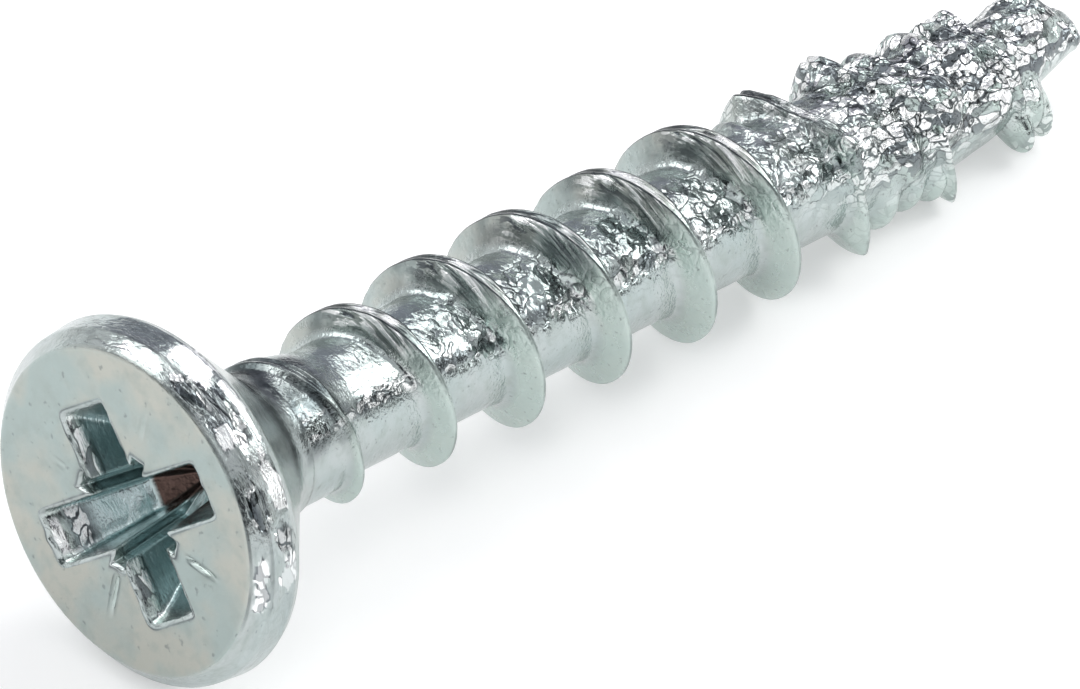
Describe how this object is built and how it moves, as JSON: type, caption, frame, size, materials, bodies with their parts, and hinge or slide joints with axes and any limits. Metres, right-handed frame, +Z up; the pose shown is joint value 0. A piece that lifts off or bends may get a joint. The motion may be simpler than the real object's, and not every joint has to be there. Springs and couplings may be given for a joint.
{
  "type": "countersunk multi-purpose screw",
  "caption": "Zinc-plated countersunk multi-purpose screw with a cross recess, coarse thread, notched last turns and a gimlet point.",
  "frame": {"origin": "centre of the bounding box's base: the screw lies on its side on the surface", "axes": "+X along the screw, towards the point; +Z up from the surface it lies on"},
  "size_m": [0.0258, 0.0072, 0.0073],
  "materials": {
    "zinc_steel": "bright zinc plate on cold-formed steel, smooth on the face and flanks, crinkled in the valleys"
  },
  "bodies": {
    "root": {"screw": "zinc_steel"}
  },
  "joints": []
}
